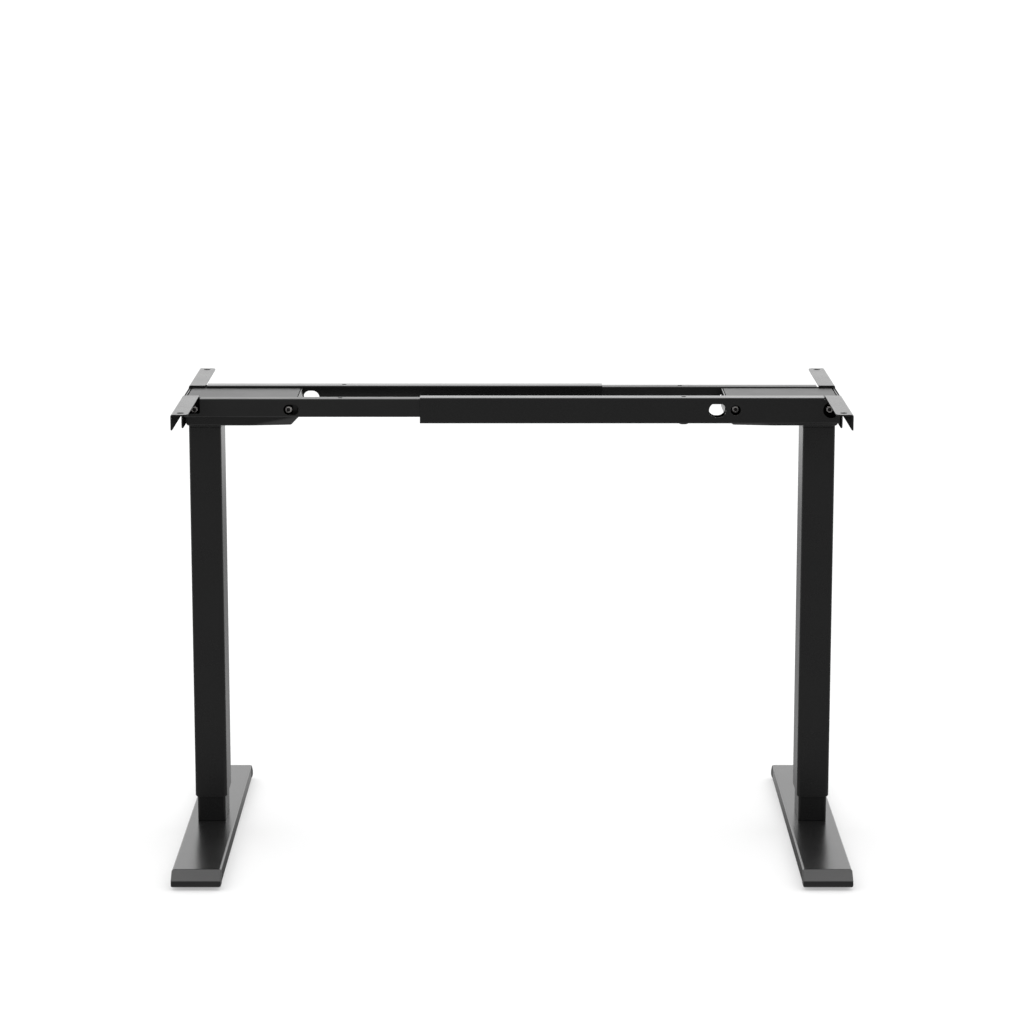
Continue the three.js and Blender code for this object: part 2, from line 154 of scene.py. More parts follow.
def finish_material(name, colour, roughness, height, bump, **fixed):
    """Joins a colour, a roughness and a height pattern to one surface shader."""
    graph = colour.graph
    normal = graph.add("ShaderNodeBump", inputs={"Strength": 1.0, "Distance": bump, "Height": height})
    inputs = {"Base Color": colour, "Roughness": roughness, "Normal": normal, **fixed}
    surface = graph.add("ShaderNodeBsdfPrincipled", inputs=inputs)
    graph.add("ShaderNodeOutputMaterial", inputs={"Surface": surface})
    return bpy.data.materials[name]


def start_material(name):
    graph = Graph(bpy.data.materials.new(name))
    place = graph.add("ShaderNodeTexCoord", output=3)
    return graph, place


def powder_coat(name, gloss_low, gloss_high, ior=1.5):
    """Satin black powder coat: a fine pebbled skin over a slow ripple, a little uneven in gloss."""
    graph, place = start_material(name)
    pebbles = graph.noise(place, 2400, 2.0, 0.6)
    ripple = graph.noise(place, 500, 2.0, 0.5)
    patches = graph.noise(place, 14, 3.0, 0.55)
    colour = graph.mix(patches, grey(0.0042), grey(0.0052))
    roughness = graph.range(patches, 0.3, 0.7, gloss_low, gloss_high) + pebbles * 0.02
    height = pebbles * 0.85 + ripple * 0.15
    return finish_material(name, colour, roughness, height, 0.00001, IOR=ior)


def moulded_plastic(name, level, roughness_low, roughness_high, grain):
    """Moulded plastic with a spark-eroded grain."""
    graph, place = start_material(name)
    specks = graph.noise(place, grain, 3.0, 0.65)
    flow = graph.noise(place, 30, 2.0, 0.5)
    colour = graph.mix(flow, grey(level * 0.92), grey(level * 1.08))
    roughness = graph.range(flow, 0.3, 0.7, roughness_low, roughness_high) + specks * 0.04
    return finish_material(name, colour, roughness, specks, 0.00005, IOR=1.49)


def inside_painted_shade():
    """Near-black and barely reflective: painted shade for the inside of a tube or tray, and for some hole
    walls and cut edges.
    """
    graph, place = start_material("inside_painted_shade")
    scale = graph.noise(place, 220, 4.0, 0.6)
    colour = graph.mix(scale, grey(0.003), grey(0.007))
    roughness = graph.range(scale, 0.3, 0.7, 0.7, 0.85)
    return finish_material("inside_painted_shade", colour, roughness, scale, 0.00004, IOR=1.15)


def socket_painted_shade():
    """Dark steel for the wall of a screw's socket: painted shade in the recess."""
    graph, place = start_material("socket_painted_shade")
    marks = graph.noise(place, 900, 2.0, 0.5)
    colour = graph.mix(marks, grey(0.05, 0.04), grey(0.09, 0.03))
    roughness = graph.range(marks, 0.3, 0.7, 0.42, 0.55)
    return finish_material("socket_painted_shade", colour, roughness, marks, 0.00001, Metallic=1.0)


def rubber():
    graph, place = start_material("glide_rubber_skin")
    specks = graph.noise(place, 1200, 4.0, 0.7)
    scuffs = graph.noise(place, 60, 4.0, 0.6)
    colour = graph.mix(graph.range(scuffs, 0.45, 0.75, 0, 1), grey(0.012), grey(0.022))
    roughness = graph.range(scuffs, 0.3, 0.8, 0.68, 0.85)
    return finish_material("glide_rubber_skin", colour, roughness, specks, 0.00008, IOR=1.5)


def zinc_plate():
    """Zinc plated steel: warm grey, slightly cloudy, with faint turning marks."""
    graph, place = start_material("zinc_plate")
    clouds = graph.noise(place, 160, 3.0, 0.6)
    fine = graph.noise(place, 2600, 2.0, 0.5)
    colour = graph.mix(clouds, grey(0.78, 0.04), grey(0.90, 0.02))
    roughness = graph.range(clouds, 0.3, 0.7, 0.30, 0.42) + fine * 0.06
    return finish_material("zinc_plate", colour, roughness, fine, 0.00001, Metallic=1.0)


def cast_alloy():
    graph, place = start_material("cast_alloy")
    skin = graph.noise(place, 700, 4.0, 0.65)
    clouds = graph.noise(place, 40, 3.0, 0.55)
    colour = graph.mix(clouds, grey(0.42), grey(0.52))
    roughness = graph.range(clouds, 0.3, 0.7, 0.45, 0.58) + skin * 0.06
    return finish_material("cast_alloy", colour, roughness, skin, 0.00006, Metallic=1.0)


def drawn_steel():
    graph, place = start_material("drawn_steel")
    stretched = graph.add("ShaderNodeMapping", inputs={"Vector": place, "Scale": (0.03, 1.0, 1.0)})
    streaks = graph.noise(stretched, 900, 2.0, 0.5)
    clouds = graph.noise(place, 50, 3.0, 0.55)
    colour = graph.mix(clouds, grey(0.36, 0.01), grey(0.44, 0.01))
    roughness = graph.range(streaks, 0.3, 0.7, 0.28, 0.40)
    return finish_material("drawn_steel", colour, roughness, streaks, 0.00001, Metallic=1.0)


def floor_paint():
    graph, place = start_material("floor_paint")
    cloud = graph.noise(place, 2.0, 2.0, 0.5)
    colour = graph.mix(cloud, grey(0.35), grey(0.37))
    rough = graph.range(cloud, 0, 1, 0.9, 0.95)
    glow = {"Emission Color": grey(1.0), "Emission Strength": 0.4}
    return finish_material("floor_paint", colour, rough, cloud, 0.0001, IOR=1.3, **glow)


# Radiance of the studio by the sine of the elevation, in front of the frame and behind it.
BRIGHTEST = 2.8
FRONT_SKY = ((-1, 0.8), (-0.6, 0.65), (-0.35, 0.32), (0.0, 0.29), (0.3, 0.45), (0.7, 1.6), (1, BRIGHTEST))
BACK_SKY = (
    (-1, 0.70), (-0.5, 0.25), (-0.276, 0.08), (-0.268, 0.60), (-0.245, 0.56), (-0.213, 0.38),
    (-0.187, 0.16), (-0.166, 1.0), (-0.10, 1.35), (0.15, 1.4), (0.3, 1.4), (0.7, 2.2), (1, BRIGHTEST),
)
BACKDROP = 1.15
FLOOR_REACH = 30


def sky(graph, upward, profile):
    stops = [((height + 1) / 2, grey(level / BRIGHTEST)) for height, level in profile]
    return graph.add("ShaderNodeValToRGB", {"stops": stops}, {"Fac": upward * 0.5 + 0.5}) * BRIGHTEST


def add_studio():
    """A bright ceiling and back wall, a dim front, a darker ground for reflections and a white backdrop."""
    world = bpy.data.worlds.new("studio")
    bpy.context.scene.world = world
    graph = Graph(world)
    direction = graph.add("ShaderNodeTexCoord", output=0)
    across = graph.add("ShaderNodeSeparateXYZ", inputs={"Vector": direction}, output=1)
    upward = graph.add("ShaderNodeSeparateXYZ", inputs={"Vector": direction}, output=2)
    back = graph.range(across, -0.7, 0.7, 0, 1)
    light = sky(graph, upward, FRONT_SKY) * (1 - back) + sky(graph, upward, BACK_SKY) * back
    studio = graph.add("ShaderNodeBackground", inputs={"Color": grey(1.0), "Strength": light})
    backdrop = graph.add("ShaderNodeBackground", inputs={"Color": grey(1.0), "Strength": BACKDROP})
    seen = graph.add("ShaderNodeLightPath", output=0)
    shown = graph.add("ShaderNodeMixShader", inputs={0: seen, 1: studio, 2: backdrop})
    graph.add("ShaderNodeOutputWorld", inputs={"Surface": shown})
    bpy.context.scene.view_settings.view_transform = "Standard"


def add_floor():
    """A wide pale floor. Glossy rays pass it and find the dark ground of the studio."""
    bm = bmesh.new()
    bmesh.ops.create_grid(bm, x_segments=1, y_segments=1, size=FLOOR_REACH)
    floor = to_object("floor", bm)
    floor.data.materials[0] = floor_paint()
    floor.visible_glossy = False


# ---- mesh tools ----

def to_object(name, bm):
    """A bmesh as an object with two material slots, for the outside and the inside."""
    mesh = bpy.data.meshes.new(name)
    bm.to_mesh(mesh)
    bm.free()
    mesh.materials.append(None)
    mesh.materials.append(None)
    thing = bpy.data.objects.new(name, mesh)
    bpy.context.scene.collection.objects.link(thing)
    return thing


def block(low, high):
    """A box between two corners."""
    low, high = Vector(low), Vector(high)
    bm = bmesh.new()
    bmesh.ops.create_cube(bm, size=1)
    bmesh.ops.scale(bm, vec=high - low, verts=bm.verts)
    bmesh.ops.translate(bm, vec=(low + high) / 2, verts=bm.verts)
    return bm


def middle(edge):
    return (edge.verts[0].co + edge.verts[1].co) / 2


def nearest(bm, point):
    return min(bm.verts, key=lambda vert: (vert.co - Vector(point)).length)


def edges_along(bm, axis, test=lambda centre: True):
    """The edges that run along an axis and whose middles pass the test."""
    runs = [(e, (e.verts[1].co - e.verts[0].co).normalized()) for e in bm.edges]
    return [e for e, run in runs if abs(run.dot(axis)) > 0.999 and test(middle(e))]


def soften(bm, edges, radius, segments):
    bmesh.ops.bevel(
        bm, geom=edges, offset=radius, offset_type="OFFSET", affect="EDGES",
        segments=segments, profile=0.5, material=-1, clamp_overlap=True,
    )


def soften_corners(bm, corners, radius, segments):
    bmesh.ops.bevel(
        bm, geom=corners, offset=radius, offset_type="OFFSET", affect="VERTICES",
        segments=segments, profile=0.5, material=-1, clamp_overlap=True,
    )


def prism(outline, sweep):
    """A closed solid: a flat outline swept along a vector."""
    bm = bmesh.new()
    face = bm.faces.new([bm.verts.new(point) for point in outline])
    swept = bmesh.ops.extrude_face_region(bm, geom=[face])["geom"]
    bmesh.ops.translate(bm, vec=sweep, verts=[v for v in swept if isinstance(v, bmesh.types.BMVert)])
    bmesh.ops.recalc_face_normals(bm, faces=bm.faces)
    return bm


def rod(start, end, radius, segments=48, tip=None):
    """A closed cylinder or cone between two points."""
    start, end = Vector(start), Vector(end)
    run = end - start
    turn = Z.rotation_difference(run).to_matrix().to_4x4()
    bm = bmesh.new()
    bmesh.ops.create_cone(
        bm, cap_ends=True, segments=segments, radius1=radius, radius2=radius if tip is None else tip,
        depth=run.length, matrix=Matrix.Translation((start + end) / 2) @ turn,
    )
    return bm


def turned(profile, place, axis=Z, segments=48):
    """A turned piece: (radius, height) points spun about an axis through a place."""
    bm = bmesh.new()
    verts = [bm.verts.new((radius, 0, height)) for radius, height in profile]
    edges = [bm.edges.new(pair) for pair in zip(verts, verts[1:])]
    bmesh.ops.spin(
        bm, geom=verts + edges, cent=(0, 0, 0), axis=Z, dvec=(0, 0, 0),
        angle=math.tau, steps=segments, use_merge=True, use_duplicate=False,
    )
    bmesh.ops.remove_doubles(bm, verts=bm.verts, dist=1e-7)
    bmesh.ops.recalc_face_normals(bm, faces=bm.faces)
    turn = Z.rotation_difference(axis).to_matrix().to_4x4()
    bmesh.ops.transform(bm, matrix=Matrix.Translation(place) @ turn, verts=bm.verts)
    return bm


def tube(low, high, axis, radius, segments=8, low_radius=None):
    """The skin of a rectangular tube with rounded corners and open ends."""
    bm = block(low, high)
    centre = (Vector(low) + Vector(high)) / 2
    if low_radius is not None:
        soften(bm, edges_along(bm, axis, lambda c: c.z < centre.z), low_radius, segments)
        soften(bm, edges_along(bm, axis, lambda c: c.z > high[2] - 1e-6), radius, segments)
    else:
        soften(bm, edges_along(bm, axis), radius, segments)
    ends = [f for f in bm.faces if abs(f.normal.dot(axis)) > 0.99]
    bmesh.ops.delete(bm, geom=ends, context="FACES_ONLY")
    return bm


def baked(thing):
    """Applies a piece's modifiers to its mesh."""
    graph = bpy.context.evaluated_depsgraph_get()
    mesh = bpy.data.meshes.new_from_object(thing.evaluated_get(graph), depsgraph=graph)
    thing.modifiers.clear()
    old, thing.data = thing.data, mesh
    bpy.data.meshes.remove(old)
    mesh.name = thing.name


def thicken(thing, wall):
    """Gives an open skin its wall, inwards."""
    shell = thing.modifiers.new("wall", "SOLIDIFY")
    shell.thickness = wall
    shell.offset = -1
    shell.use_even_offset = True
    shell.use_rim = True
    # The inner shell takes slot 1, which on most pieces holds the near-black painted shade.
    shell.material_offset = 1
    baked(thing)


def carve(thing, cutters):
    """Cuts closed shapes out of a piece."""
    tools = [to_object(f"cutter_{number}", bm) for number, bm in enumerate(cutters)]
    for tool in tools:
        cut = thing.modifiers.new("cut", "BOOLEAN")
        cut.operation = "DIFFERENCE"
        cut.solver = "EXACT"
        cut.object = tool
    baked(thing)
    for tool in tools:
        bpy.data.objects.remove(tool)


def dress(thing, edge, segments=2):
    """Breaks the sharp edges by a small radius and smooths the shading."""
    for polygon in thing.data.polygons:
        polygon.use_smooth = True
    if edge:
        bevel = thing.modifiers.new("broken_edges", "BEVEL")
        bevel.width = edge
        bevel.segments = segments
        bevel.limit_method = "ANGLE"
        bevel.angle_limit = math.radians(38)
        bevel.use_clamp_overlap = True
    smooth = thing.modifiers.new("flat_faces", "WEIGHTED_NORMAL")
    smooth.keep_sharp = True
    smooth.weight = 60
    baked(thing)


def soft_block(name, low, high, axis, radius, segments, edge):
    """A block with rounded edges along one axis and broken edges elsewhere."""
    bm = block(low, high)
    soften(bm, edges_along(bm, axis), radius, segments)
    thing = to_object(name, bm)
    dress(thing, edge)
    return thing


def joined(first, *others):
    """Several closed shells as one piece."""
    bm = bmesh.new()
    for thing in (first, *others):
        bm.from_mesh(thing.data)
    bm.to_mesh(first.data)
    bm.free()
    for thing in others:
        bpy.data.objects.remove(thing)
    return first


# ---- sizes, taken from the frame ----

foot_low, foot_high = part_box("foot_right")
cap_low, cap_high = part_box("foot_cap_front_right")
inner_low, inner_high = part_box("inner_tube_right")
outer_low, outer_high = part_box("outer_tube_right")
collar_low, collar_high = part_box("mouth_collar_right")
head_low, head_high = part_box("column_head_right")
box_low, box_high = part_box("motor_box_right")
cover_low, cover_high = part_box("box_cover_right")
bracket_low, bracket_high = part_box("bracket_right")
wide_low, wide_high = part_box("wide_rail_front")
narrow_low, narrow_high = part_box("narrow_rail_rear")
bush_low, bush_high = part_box("screw_bush_front")
guide_low, guide_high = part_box("rail_guide_front")
glide_low, glide_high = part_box("glide_front_right")

COLUMN_X = (outer_low.x + outer_high.x) / 2
TOP = bracket_high.z


def centre_of(node):
    low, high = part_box(node)
    return (low + high) / 2


# ---- feet ----

FOOT_WALL = 2.5 * MM
FOOT_EDGE = 2.8 * MM
FOOT_LOW_EDGE = 2 * MM
BOLT_ACCESS = 9 * MM
M8_HOLE = 4.2 * MM


def foot_beam():
    beam = to_object("foot_beam", tube(foot_low, foot_high, Y, FOOT_EDGE, 8, FOOT_LOW_EDGE))
    thicken(beam, FOOT_WALL)
    cutters = []
    for end in ("front", "rear"):
        for node, radius in (("foot_bolt", BOLT_ACCESS), ("glide", M8_HOLE)):
            centre = centre_of(f"{node}_{end}_right")
            start = Vector((centre.x, centre.y, foot_low.z - MM))
            cutters.append(rod(start, start + Z * 2 * FOOT_WALL, radius))
    carve(beam, cutters)
    dress(beam, 0.25 * MM)
    return beam


CAP_FACE = 10 * MM
CAP_SEAM = 0.3 * MM
CAP_EDGE = 2.6 * MM


def foot_cap(end):
    """A moulded end cap: a sloped nose over a short upright face."""
    side = -1 if end == "front" else 1
    seam = side * (foot_high.y + CAP_SEAM)
    tip = side * abs(cap_low.y)
    low, high = cap_low.z, cap_high.z
    outline = [(seam, low), (seam, high), (tip, low + CAP_FACE), (tip, low)]
    bm = prism([(cap_low.x, y, z) for y, z in outline], X * (cap_high.x - cap_low.x))
    slope = (Vector((0, tip, low + CAP_FACE)) - Vector((0, seam, high))).normalized()
    at_tip = lambda c: abs(c.y - tip) < MM
    below = lambda c: c.z < low + MM and abs(c.y - seam) > MM
    rims = edges_along(bm, slope) + edges_along(bm, Z, at_tip)
    floor_edges = edges_along(bm, X, below) + edges_along(bm, Y, below)
    soften(bm, rims + floor_edges, CAP_EDGE, 6)
    cap = to_object("cap", bm)
    dress(cap, 0.8 * MM, 3)
    return cap


PAD_EDGE = 1.2 * MM
PAD_ROUND = PAD_EDGE * 0.3
PAD_HEIGHT = 3 * MM
HEX_RADIUS, HEX_HEIGHT = 8.5 * MM, 1.5 * MM
STUD_ROOT, STUD_CREST, STUD_LENGTH = 3.3 * MM, 3.9 * MM, 20 * MM
STUD_PITCH, STUD_TURNS = 1.25 * MM, 14


def glide_pad(end):
    centre = centre_of(f"glide_{end}_right")
    radius = (glide_high.x - glide_low.x) / 2
    profile = [
        (0, 0), (radius - PAD_EDGE, 0), (radius - PAD_ROUND, PAD_ROUND), (radius, PAD_EDGE),
        (radius, PAD_HEIGHT - PAD_EDGE), (radius - PAD_ROUND, PAD_HEIGHT - PAD_ROUND),
        (radius - PAD_EDGE, PAD_HEIGHT), (0, PAD_HEIGHT),
    ]
    pad = to_object("pad", turned(profile, (centre.x, centre.y, glide_low.z)))
    dress(pad, 0)
    return pad


def glide_stud(end):
    """The glide's hexagon and threaded stud."""
    centre = centre_of(f"glide_{end}_right")
    base = Vector((centre.x, centre.y, glide_low.z + PAD_HEIGHT + 0.05 * MM))
    stud = to_object("stud", rod(base, base + Z * HEX_HEIGHT, HEX_RADIUS, segments=6))
    foot = HEX_HEIGHT - 0.1 * MM
    profile = [(0, foot), (STUD_ROOT, foot)]
    for turn in range(STUD_TURNS):
        height = 2 * MM + turn * STUD_PITCH
        profile += [(STUD_CREST, height), (STUD_ROOT, height + STUD_PITCH / 2)]
    profile += [(STUD_ROOT, STUD_LENGTH), (0, STUD_LENGTH)]
    thread = to_object("thread", turned(profile, base, segments=24))
    dress(stud, 0.2 * MM)
    dress(thread, 0)
    return joined(stud, thread)


# ---- columns ----

COLUMN_WALL = 1.8 * MM
OUTER_RADIUS = 5 * MM
INNER_RADIUS = 4 * MM
EDGE_BREAK = 0.3 * MM
SPINDLE_HOLE = 12 * MM


def column_tube(low, high, radius):
    skin = to_object("column", tube(low, high, Z, radius, 10))
    thicken(skin, COLUMN_WALL)
    dress(skin, EDGE_BREAK)
    return skin


def inner_column():
    return column_tube(inner_low, inner_high, INNER_RADIUS)


def outer_column():
    return column_tube(outer_low, outer_high, OUTER_RADIUS)


COLLAR_GAP = 0.3 * MM
COLLAR_SLEEVE = 0.6 * MM


def mouth_collar():
    """The slide collar: a thin sleeve in the tube's mouth with a lip under it."""
    grow = Vector((COLLAR_GAP, COLLAR_GAP, 0))
    thick = Vector((COLLAR_SLEEVE, COLLAR_SLEEVE, 0))
    flat_low = Vector((inner_low.x, inner_low.y, collar_low.z)) - grow
    flat_high = Vector((inner_high.x, inner_high.y, collar_high.z)) + grow
    sleeve = to_object("sleeve", tube(flat_low - thick, flat_high + thick, Z, INNER_RADIUS, 8))
    thicken(sleeve, COLLAR_SLEEVE)
    lip_high = Vector((collar_high.x, collar_high.y, outer_low.z - COLLAR_GAP))
    lip = to_object("lip", tube(collar_low, lip_high, Z, INNER_RADIUS + 0.6 * MM, 8))
    thicken(lip, collar_high.x - inner_high.x - COLLAR_GAP - COLLAR_SLEEVE - 0.05 * MM)
    dress(sleeve, 0)
    dress(lip, 0.3 * MM)
    return joined(sleeve, lip)


def column_head():
    bm = block(head_low, head_high)
    soften(bm, edges_along(bm, Z), OUTER_RADIUS, 10)
    plate = to_object("plate", bm)
    carve(plate, [rod((COLUMN_X, 0, head_low.z - MM), (COLUMN_X, 0, head_high.z + MM), SPINDLE_HOLE)])
    dress(plate, EDGE_BREAK)
    return plate


# ---- motor boxes ----

BOX_WALL = 1.6 * MM
BOX_DEPTH = 49.7 * MM
NOSE_RUN, NOSE_RISE = 12.8 * MM, 14.2 * MM
HEEL_RUN, HEEL_RISE = 4 * MM, 7 * MM
TAPER_START = 404 * MM
TAPER = 8 * MM
BOX_BEND = 2 * MM
BOLT_XS = (344 * MM, 489 * MM)
BOLT_HEIGHT = 690 * MM
BOLT_HOLE = 3.4 * MM
RIVET_FLANGE = 6 * MM


def motor_tray():
    """A folded tray with a raked nose, whose lower nose corners are drawn in."""
    x0, x1, z0, z1 = box_low.x, box_high.x, box_low.z, box_high.z
    outline = [
        (x0, z1), (x0, z0 + NOSE_RISE), (x0 + NOSE_RUN, z0),
        (x1 - HEEL_RUN, z0), (x1, z0 + HEEL_RISE), (x1, z1),
    ]
    bm = prism([(x, -BOX_DEPTH, z) for x, z in outline], Y * 2 * BOX_DEPTH)
    top = [f for f in bm.faces if f.normal.z > 0.99]
    bmesh.ops.delete(bm, geom=top, context="FACES_ONLY")
    everything = bm.verts[:] + bm.edges[:] + bm.faces[:]
    bmesh.ops.bisect_plane(bm, geom=everything, plane_co=(TAPER_START, 0, 0), plane_no=X)
    nose_tips = []
    for side in (-1, 1):
        y = side * BOX_DEPTH
        fold = [nearest(bm, (TAPER_START, y, z0)), nearest(bm, (x0, y, z0 + NOSE_RISE))]
        bmesh.ops.connect_verts(bm, verts=fold)
        nose_tips.append((nearest(bm, (x0 + NOSE_RUN, y, z0)), side))
    for tip, side in nose_tips:
        tip.co.y -= side * TAPER
    bm.normal_update()
    sharp = [e for e in bm.edges if len(e.link_faces) == 2 and e.calc_face_angle() > math.radians(3)]
    soften(bm, sharp, BOX_BEND, 5)
    tray = to_object("tray", bm)
    thicken(tray, BOX_WALL)
    cutters = [rod((COLUMN_X, 0, z0 - MM), (COLUMN_X, 0, z0 + 3 * MM), SPINDLE_HOLE)]
    for x in BOLT_XS:
        for side in (-1, 1):
            start = Vector((x, side * (BOX_DEPTH - 3 * MM), BOLT_HEIGHT))
            cutters.append(rod(start, start + Y * side * 5 * MM, BOLT_HOLE))
    for end in ("front", "rear"):
        bolt = centre_of(f"bracket_bolt_{end}_right")
        start = Vector((x1 - 3 * MM, bolt.y, bolt.z))
        cutters.append(rod(start, start + X * 5 * MM, BOLT_HOLE))
    carve(tray, cutters)
    dress(tray, 0.2 * MM)
    bosses = [rivet_nut(x) for x in BOLT_XS]
    return joined(tray, *bosses)


def rivet_nut(x):
    """The flange of a rivet nut, which spaces the narrow rail off the tray."""
    seat = BOX_DEPTH + HAIR
    face = narrow_low.y - FIT_GAP
    height, rim = face - seat, 0.3 * MM
    profile = [(BOLT_HOLE, 0), (RIVET_FLANGE, 0), (RIVET_FLANGE, height - rim)]
    profile += [(RIVET_FLANGE - rim, height), (BOLT_HOLE, height), (BOLT_HOLE, 0)]
    nut = to_object("nut", turned(profile, (x, seat, BOLT_HEIGHT), axis=Y, segments=32))
    dress(nut, 0)
    return nut


def box_cover():
    return soft_block("cover", cover_low, cover_high, Z, 1.5 * MM, 4, 0.15 * MM)


# ---- brackets ----

SHEET = 2.2 * MM
MIDDLE_CUT = 50.4 * MM
MIDDLE_TOP = 707 * MM
END_DEPTH = 24 * MM
MIDDLE_DEPTH = 48 * MM
MIDDLE_HALF = 75 * MM
BEND_RADIUS = 2.6 * MM
TIP_RADIUS, TOOTH_RADIUS, TOE_RADIUS = 8 * MM, 6 * MM, 2 * MM
BRACKET_HOLE = (494 * MM, 220.5 * MM, 5.4 * MM)


def bracket():
    """A folded angle: a web down the outer side and two flanges under the table top."""
    x, edge, length = bracket_high.x, bracket_low.x, bracket_high.y
    half_web = [(length, TOP), (MIDDLE_CUT, TOP), (MIDDLE_CUT, MIDDLE_TOP)]
    lower = [(MIDDLE_HALF, TOP - MIDDLE_DEPTH), (MIDDLE_HALF, TOP - END_DEPTH), (length, TOP - END_DEPTH)]
    web = half_web + [(-y, z) for y, z in reversed(half_web)]
    web += [(-y, z) for y, z in reversed(lower)] + lower
    bm = bmesh.new()
    corners = {point: bm.verts.new((x, *point)) for point in web}
    bm.faces.new([corners[point] for point in web])
    for side in (-1, 1):
        near, far = corners[(side * MIDDLE_CUT, TOP)], corners[(side * length, TOP)]
        inner_far = bm.verts.new((edge, side * length, TOP))
        inner_near = bm.verts.new((edge, side * MIDDLE_CUT, TOP))
        bm.faces.new([near, far, inner_far, inner_near])
    bmesh.ops.recalc_face_normals(bm, faces=bm.faces)
    if min(bm.faces, key=lambda f: f.calc_center_median().z).normal.x < 0:
        bmesh.ops.reverse_faces(bm, faces=bm.faces)
    flange_tips = [v for v in bm.verts if abs(v.co.x - edge) < MM and abs(abs(v.co.y) - length) < MM]
    teeth = [v for v in bm.verts if abs(abs(v.co.y) - MIDDLE_HALF) < MM]
    toes = [v for v in bm.verts if abs(v.co.z - TOP + END_DEPTH) < MM and abs(abs(v.co.y) - length) < MM]
    soften_corners(bm, flange_tips, TIP_RADIUS, 8)
    soften_corners(bm, teeth, TOOTH_RADIUS, 6)
    soften_corners(bm, toes, TOE_RADIUS, 4)
    soften(bm, [e for e in bm.edges if len(e.link_faces) == 2], BEND_RADIUS, 6)
    angle = to_object("angle", bm)
    thicken(angle, SHEET)
    cutters = []
    hole_x, hole_y, radius = BRACKET_HOLE
    for side in (-1, 1):
        start = Vector((hole_x, side * hole_y, TOP - 4 * MM))
        cutters.append(rod(start, start + Z * 5 * MM, radius))
    for end in ("front", "rear"):
        bolt = centre_of(f"bracket_bolt_{end}_right")
        start = Vector((x - 4 * MM, bolt.y, bolt.z))
        cutters.append(rod(start, start + X * 5 * MM, BOLT_HOLE))
    carve(angle, cutters)
    dress(angle, EDGE_BREAK)
    # The cut edge at the middle's top takes the near-black inside finish: a painted dark stripe for the
    # shade on the web's top edge.
    for polygon in angle.data.polygons:
        if abs(polygon.center.y) < MIDDLE_CUT - 0.2 * MM and polygon.center.z > MIDDLE_TOP - 0.5 * MM:
            polygon.material_index = 1
    return angle


# ---- cross rails ----

RAIL_WALL = 1.5 * MM
RAIL_RADIUS = 1.6 * MM
RELIEF_X = 479 * MM
RELIEF_Z = 708.5 * MM
NOTCH_Z = 685.8 * MM
CABLE_HOLE = (315.3 * MM, 691.5 * MM, 25.8 * MM, 22.5 * MM)
BOLT_SLOT = (339 * MM, 692 * MM, 24 * MM, 16 * MM)
SLOT_END = (332 * MM, 691 * MM, 12 * MM, 16 * MM)
INNER_ACCESS = (343.3 * MM, 691.5 * MM, 7.85 * MM)
END_ACCESS = (490 * MM, 692 * MM, 12.5 * MM)
TOP_HOLE_X, TOP_HOLE_BORE, TOP_HOLE_RIM = 264 * MM, 3.15 * MM, 3.8 * MM
BUSH_HOLE, SCREW_ACCESS = 6.3 * MM, 8 * MM


def slot_cutter(slot, y0, y1):
    """A slot with round ends, through a rail's wall."""
    x, z, length, height = slot
    bm = block((x - length / 2, y0, z - height / 2), (x + length / 2, y1, z + height / 2))
    soften(bm, edges_along(bm, Y), height / 2 * 0.999, 16)
    return bm


def slot_end_cutter(y0, y1):
    """The bolt slot's inner end, which goes on through the near wall up to the bolt's seat."""
    x, z, length, height = SLOT_END
    bm = block((x - length / 2, y0, z - height / 2), (x + length / 2, y1, z + height / 2))
    soften(bm, edges_along(bm, Y, lambda c: c.x < x), height / 2 * 0.999, 16)
    soften(bm, edges_along(bm, Y, lambda c: c.x > x + length / 2 - 0.1 * MM), 2 * MM, 4)
    return bm


def top_holes(centre, low, high, lower_radius):
    """The table-top screw's hole in a rail's top wall and the wider one under it."""
    x = TOP_HOLE_X
    return [
        rod((x, centre, high - 4 * MM), (x, centre, high + MM), TOP_HOLE_RIM),
        rod((x, centre, low - MM), (x, centre, low + 3 * MM), lower_radius),
    ]


def shade_hole_wall(rail, y, floor):
    """Gives the wall of the screw hole in a rail's top the near-black finish: painted shade in the hole."""
    for polygon in rail.data.polygons:
        centre = polygon.center
        off_axis = math.hypot(centre.x - TOP_HOLE_X, centre.y - y)
        if off_axis < TOP_HOLE_RIM + 0.05 * MM and centre.z > floor:
            polygon.material_index = 1


def wide_rail():
    rail = to_object("rail", tube(wide_low, wide_high, X, RAIL_RADIUS, 5))
    thicken(rail, RAIL_WALL)
    front, back = wide_low.y - MM, wide_high.y + MM
    centre = (wide_low.y + wide_high.y) / 2
    cutters = [block((RELIEF_X, front, RELIEF_Z), (wide_high.x + MM, back, TOP + MM))]
    for (x, z, radius), facets in ((INNER_ACCESS, 48), (END_ACCESS, 64)):
        cutters.append(rod((x, front, z), (x, centre, z), radius, facets))
    cutters.append(slot_cutter(CABLE_HOLE, front, back))
    cutters += top_holes(centre, wide_low.z, wide_high.z, BUSH_HOLE)
    cutters += [rod((x, centre, BOLT_HEIGHT), (x, back, BOLT_HEIGHT), BOLT_HOLE) for x in BOLT_XS]
    carve(rail, cutters)
    dress(rail, 0.15 * MM)
    shade_hole_wall(rail, centre, wide_high.z - 3 * MM)
    return rail


